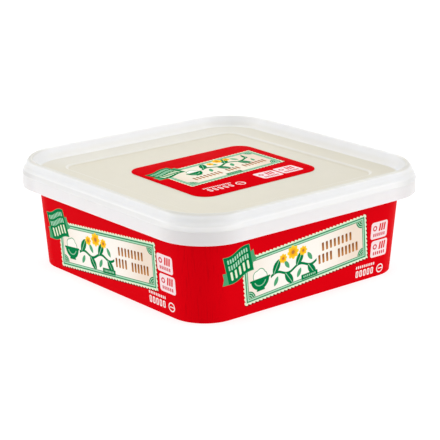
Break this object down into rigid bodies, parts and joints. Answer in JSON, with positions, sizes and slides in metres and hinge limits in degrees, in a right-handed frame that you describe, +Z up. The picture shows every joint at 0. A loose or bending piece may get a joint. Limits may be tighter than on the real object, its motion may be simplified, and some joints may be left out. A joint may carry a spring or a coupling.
{
  "type": "yogurt pot",
  "caption": "Shut square food tub with round corners and a deep press-on lid, filled with yogurt, with a printed sleeve round its wall and a printed label on the lid.",
  "frame": {"origin": "middle of the flat base, where the pot stands", "axes": "+Z up; the printed faces look along -Y, +X, +Y and -X, and the lid's print is upright seen from -Y"},
  "size_m": [0.165, 0.165, 0.059],
  "materials": {
    "tub_plastic": "satin off-white moulded polypropylene",
    "yogurt_cream": "moist cream-coloured set yogurt",
    "lid_plastic": "satin milky white moulded plastic, cream-tinted over the yogurt",
    "side_print": "satin-gloss printed film, red with a cream panel and green border",
    "lid_print": "satin-gloss printed label, red with a cream panel and green border"
  },
  "bodies": {
    "root": {"tub": "tub_plastic", "yogurt": "yogurt_cream", "lid": "lid_plastic", "side_label": "side_print", "lid_label": "lid_print"}
  },
  "joints": []
}
